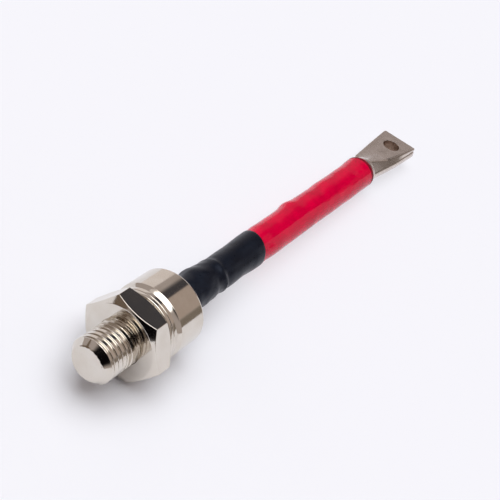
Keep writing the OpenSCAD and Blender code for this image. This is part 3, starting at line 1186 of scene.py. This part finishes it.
@dataclass(frozen=True)
class GlossCard:
    """A white card or a dark flag that only the gloss of the part sees. Places in mm."""

    name: str
    place: Triple
    aim: Triple
    size: tuple[float, float]
    colour: str

    def hang(self) -> None:
        """Hangs the card upright, facing its aim, as part of the stage."""
        deselect_all()
        bpy.ops.mesh.primitive_grid_add(x_subdivisions=4, y_subdivisions=4, size=MM)
        card = newest(self.name)
        place = Vector(self.place) * MM
        facing = (Vector(self.aim) * MM - place).to_track_quat("Z", "Y").to_matrix().to_4x4()
        card.data.transform(Matrix.Translation(place) @ facing @ Matrix.Diagonal((*self.size, 1.0, 1.0)))
        card.visible_camera = False
        card.visible_diffuse = False
        card.visible_shadow = False
        material, tree = new_material(self.name)
        glow = add(tree, "ShaderNodeEmission", {"Color": linear(self.colour), "Strength": 1.0})
        add(tree, "ShaderNodeOutputMaterial", {"Surface": glow})
        dress(card, material)
        card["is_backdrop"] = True


@dataclass
class Studio:
    """Pale floor, soft light and the camera. Places in mm, in the part's frame."""

    eye: Triple = (-154.54, -57.23, 188.0)
    aim: Triple = (60.55, -0.04, -0.14)
    roll_deg: float = 32.44
    lens: float = 77.98
    sensor: float = 36.0
    lie_pitch_deg: float = 3.08
    floor_size: float = 8000.0
    floor_colour: str = "#f3f5fc"
    grain_mm: float = 0.8
    grain_height_mm: float = 0.002
    backdrop: str = "#f7f6fc"
    # Painted light: where along the axis, and how strongly, the floor's glow lightens the shadow of the lead
    shadow_fill_run: tuple[float, float] = (22.0, 60.0)
    shadow_fill_share: float = 0.65
    sky: str = "#b4aaa6"
    sky_strength: float = 1.0
    key_azimuth: float = 80.0
    key_elevation: float = 68.0
    key_angle: float = 50.0
    key_strength: float = 0.15
    cards: tuple[GlossCard, ...] = (
        GlossCard("card_left", (117.0, 108.0, 36.0), (20.0, 0.0, 0.0), (84.0, 84.0), "#ece4e2"),
        GlossCard("card_right", (180.0, -64.0, 33.0), (180.0, 0.0, 33.0), (110.0, 84.0), "#f2eeee"),
        GlossCard("flag_front", (-28.0, 27.5, 5.0), (5.5, 9.0, 2.0), (18.0, 34.0), "#75665a"),
        GlossCard("flag_red", (158.0, -18.0, 54.0), (158.0, -1.2, 7.0), (73.0, 44.6), "#0c0a0c"),
        GlossCard("flag_lug", (178.0, -32.0, 33.0), (136.0, -4.0, 2.7), (30.0, 26.0), "#7c726b"),
    )
    patches: tuple[SkyPatch, ...] = (
        SkyPatch(10.0, 50.0, 15.0, 6.0, "#464448"),
        SkyPatch(-30.0, 40.0, 24.0, 2.0, "#b8a9a0"),
        SkyPatch(-160.0, 30.0, 38.0, 9.0, "#0a080a"),
        SkyPatch(-46.0, 10.0, 8.0, 3.0, "#867c72"),
        SkyPatch(80.0, 88.0, 30.0, 6.0, "#ffffff", 2.95),
    )

    def floor_normal(self) -> Vector:
        """Upward direction of the floor that the part lies on."""
        return Matrix.Rotation(radians(-self.lie_pitch_deg), 3, "Y") @ Vector((0.0, 0.0, 1.0))

    def board(self) -> Material:
        """Matt white board that also glows for camera and gloss rays, more strongly along the lead: painted
        light that lightens the lead's shadow there.

        Returns:
            The floor's material.
        """
        material, tree = new_material("white_board_with_painted_fill")
        place = add(tree, "ShaderNodeTexCoord").outputs["Object"]
        grain = add(tree, "ShaderNodeTexNoise", {
            "Vector": place, "Scale": per_mm(self.grain_mm), "Detail": 2.0,
        })
        bump = add(tree, "ShaderNodeBump", {"Height": grain, "Distance": self.grain_height_mm * MM})
        paper = add(tree, "ShaderNodeBsdfDiffuse", {"Color": linear(self.floor_colour), "Normal": bump})
        # Painted light: camera and gloss rays see the floor glow more and more from the head along the lead,
        # which lightens the lead's shadow and the red bounce there
        start, end = (part * MM for part in self.shadow_fill_run)
        share = add(tree, "ShaderNodeMapRange", {
            "Value": add(tree, "ShaderNodeSeparateXYZ", {0: place}),
            "From Min": start, "From Max": end, "To Max": self.shadow_fill_share,
        }, interpolation_type="SMOOTHSTEP")
        rays = add(tree, "ShaderNodeLightPath").outputs
        seen = rays["Is Camera Ray"]
        for other in ("Is Glossy Ray", "Is Transmission Ray"):
            seen = add(tree, "ShaderNodeMath", {0: seen, 1: rays[other]}, operation="MAXIMUM")
        painted_fill = add(tree, "ShaderNodeMath", {0: share, 1: seen}, operation="MULTIPLY")
        glow = add(tree, "ShaderNodeEmission", {"Color": linear(self.backdrop), "Strength": 1.0})
        both = add(tree, "ShaderNodeMixShader", {0: painted_fill, 1: paper, 2: glow})
        add(tree, "ShaderNodeOutputMaterial", {"Surface": both})
        return material

    def lay_floor(self) -> None:
        """Lays the floor against the lowest points of the part."""
        normal = self.floor_normal()
        lowest = min(normal.dot(obj.matrix_world @ vertex.co)
                     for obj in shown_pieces() if obj.type == "MESH" for vertex in obj.data.vertices)
        deselect_all()
        bpy.ops.mesh.primitive_grid_add(x_subdivisions=8, y_subdivisions=8, size=self.floor_size * MM)
        floor = newest("floor")
        floor.data.transform(normal.to_track_quat("Z", "Y").to_matrix().to_4x4())
        floor.data.transform(Matrix.Translation(normal * lowest))
        dress(floor, self.board())
        floor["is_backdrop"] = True

    def light(self) -> None:
        """Sets the world's soft surroundings and the key lamp."""
        world = bpy.data.worlds.new("studio")
        bpy.context.scene.world = world
        world.use_nodes = True
        tree = world.node_tree
        tree.nodes.clear()
        toward = add(tree, "ShaderNodeTexCoord").outputs["Generated"]
        shade = add(tree, "ShaderNodeRGB")
        shade.outputs[0].default_value = linear(self.sky)
        colour = shade.outputs[0]
        for patch in self.patches:
            middle = direction(patch.azimuth, patch.elevation)
            near = add(tree, "ShaderNodeVectorMath", {0: toward, 1: middle}, operation="DOT_PRODUCT")
            mask = add(tree, "ShaderNodeMapRange", {
                "Value": near.outputs["Value"],
                "From Min": cos(radians(patch.half_angle + patch.edge)),
                "From Max": cos(radians(max(patch.half_angle - patch.edge, 0.5))),
            }, interpolation_type="SMOOTHSTEP")
            lit = [patch.strength * part for part in linear(patch.colour)[:3]]
            mix = add(tree, "ShaderNodeMix", {"Factor": mask, 6: colour, 7: (*lit, 1.0)}, data_type="RGBA")
            colour = mix.outputs[2]
        room = add(tree, "ShaderNodeBackground", {"Color": colour, "Strength": self.sky_strength})
        add(tree, "ShaderNodeOutputWorld", {"Surface": room})
        lamp = bpy.data.lights.new("key", "SUN")
        lamp.energy = self.key_strength
        lamp.angle = radians(self.key_angle)
        key = bpy.data.objects.new("key", lamp)
        bpy.context.scene.collection.objects.link(key)
        toward_lamp = direction(self.key_azimuth, self.key_elevation)
        key.rotation_euler = toward_lamp.to_track_quat("Z", "Y").to_euler()

    def place_camera(self) -> None:
        """Puts the camera where the photograph was taken."""
        data = bpy.data.cameras.new("camera")
        data.lens = self.lens
        data.sensor_width = self.sensor
        data.clip_start = 10.0 * MM
        camera = bpy.data.objects.new("camera", data)
        bpy.context.scene.collection.objects.link(camera)
        eye = Vector(self.eye) * MM
        forward = (Vector(self.aim) * MM - eye).normalized()
        facing = forward.to_track_quat("-Z", "Y").to_matrix().to_4x4()
        roll = Matrix.Rotation(radians(self.roll_deg), 4, "Z")
        camera.matrix_world = Matrix.Translation(eye) @ facing @ roll
        bpy.context.scene.camera = camera

    def set_view(self) -> None:
        """Keeps colours as they are written."""
        bpy.context.scene.view_settings.view_transform = "Standard"


# Finishes

# Bright nickel over turned metal: warm grey mirror, a little soft, with faint lathe marks
NICKEL = Metal("bright_nickel_plate", "#d9d3ca", "#d1c9be", (0.07, 0.13), 5.0, 0.22, 0.0015,
               mark_mm=0.35, mark_height_mm=0.0006)
# Plain cold-rolled steel: grey, half dull
STEEL = Metal("cold_rolled_steel", "#a9a9aa", "#97979a", (0.28, 0.4))
# Lapped molybdenum: darker grey with a fine satin
MOLYBDENUM = Metal("lapped_molybdenum", "#96989d", "#868991", (0.3, 0.38))
# Polished silicon: dark blue grey mirror
SILICON = Metal("polished_silicon", "#565b66", "#4c515d", (0.05, 0.1))
# Soft silver foil: white mirror with a faint grain
SILVER = Metal("silver_foil", "#f2f1ee", "#e6e4df", (0.12, 0.2))
# Bare drawn copper: warm red brown with darker tarnish
COPPER = Metal("bare_drawn_copper", "#d89a76", "#b57a58", (0.25, 0.38))
# Dull tin over copper: grey brown, soft gloss with rubbed patches
TINNED = Metal("dull_tinned_copper", "#d8cfca", "#c6bbb4", (0.2, 0.3), 3.0, 0.3, 0.003)
# Drilled copper under the tin: brown, rougher, with a rough grain
DRILLED = Metal("drilled_copper", "#b49c8b", "#8a7363", (0.4, 0.5), 1.2, 0.2, 0.02)
# White moulded plastic: soft, slightly creamy
WHITE_PLASTIC = Plastic("white_moulded_plastic", "#edebe0", "#e2dfd2", (0.4, 0.5))
# Ground alumina: white, dry and fine
ALUMINA = Plastic("ground_alumina", "#f2f0ea", "#e8e5dd", (0.55, 0.65))
# Fused seal glass: dark green, glossy
GLASS = Plastic("fused_seal_glass", "#3f5a4c", "#33493e", (0.06, 0.1), 3.0, 0.9, 0.002)
# Black shrink sleeve: satin, nearly black with a blue cast
BLACK = Plastic("black_shrink_sleeve", "#0e131e", "#0a0d17", (0.26, 0.38), 6.0, 0.8, 0.004,
                specular=0.22, gloss_tint="#c4d2f0")
# Red shrink sleeve: deep crimson with a soft gloss
RED = Plastic("red_shrink_sleeve", "#d8003a", "#c40034", (0.08, 0.11), 5.0, 1.2, 0.002, specular=0.17)
# Rim of the red sleeve at the lug: darker crimson, dry; the darkness is painted shade of the gap at the
# sleeve's end
RED_RIM_SHADE = Plastic("red_sleeve_rim_painted_shade", "#86001f", "#6a0018", (0.4, 0.5), 1.0, 0.4, 0.01, specular=0.1)

INNER_FINISHES: dict[Slot, Finish] = {
    Slot.STEEL: STEEL,
    Slot.MOLYBDENUM: MOLYBDENUM,
    Slot.SILICON: SILICON,
    Slot.SILVER: SILVER,
    Slot.COPPER: COPPER,
    Slot.WHITE_PLASTIC: WHITE_PLASTIC,
    Slot.ALUMINA: ALUMINA,
}


def dress_inner_pieces() -> None:
    """Gives the solids that stay as they are the finish of their slot."""
    made = {slot.value: finish.make() for slot, finish in INNER_FINISHES.items()}
    for row in frame["record"]["subparts"]:
        material = made.get(row["material_slot"])
        node = frame["nodes"][row["node"]]
        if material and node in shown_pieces():
            dress(node, material)
            LOG.info("%s: kept as %s", row["node"], material.name)


def main() -> None:
    """Builds every piece in order, dresses it and sets up the studio."""
    logging.basicConfig(level=logging.INFO, format="%(name)s %(message)s")
    studio = Studio()
    studio.set_view()
    studio.place_camera()
    nickel = NICKEL.make()
    base = ThreadedBase().build()
    dress(base, nickel)
    cap = WeldedCap()
    dress(cap.build_ring(), nickel)
    dress(cap.build_cap(), nickel)
    dress(cap.build_eyelet(), STEEL.make())
    dress(cap.build_glass(), GLASS.make())
    lead = SleevedLead()
    black = lead.build_black()
    dress(black, BLACK.make())
    red = lead.build_red()
    dress(red, RED.make(), RED_RIM_SHADE.make())
    # Painted shade: the last stretch of the red sleeve takes the darker crimson of the gap's shade
    lead.paint_rim_shade(red)
    maker = PressedLug()
    lug = maker.build()
    dress(lug, TINNED.make(), DRILLED.make())
    maker.mark_hole(lug)
    dress_inner_pieces()
    studio.lay_floor()
    for card in studio.cards:
        card.hang()
    studio.light()


if __name__ == "__main__":
    main()
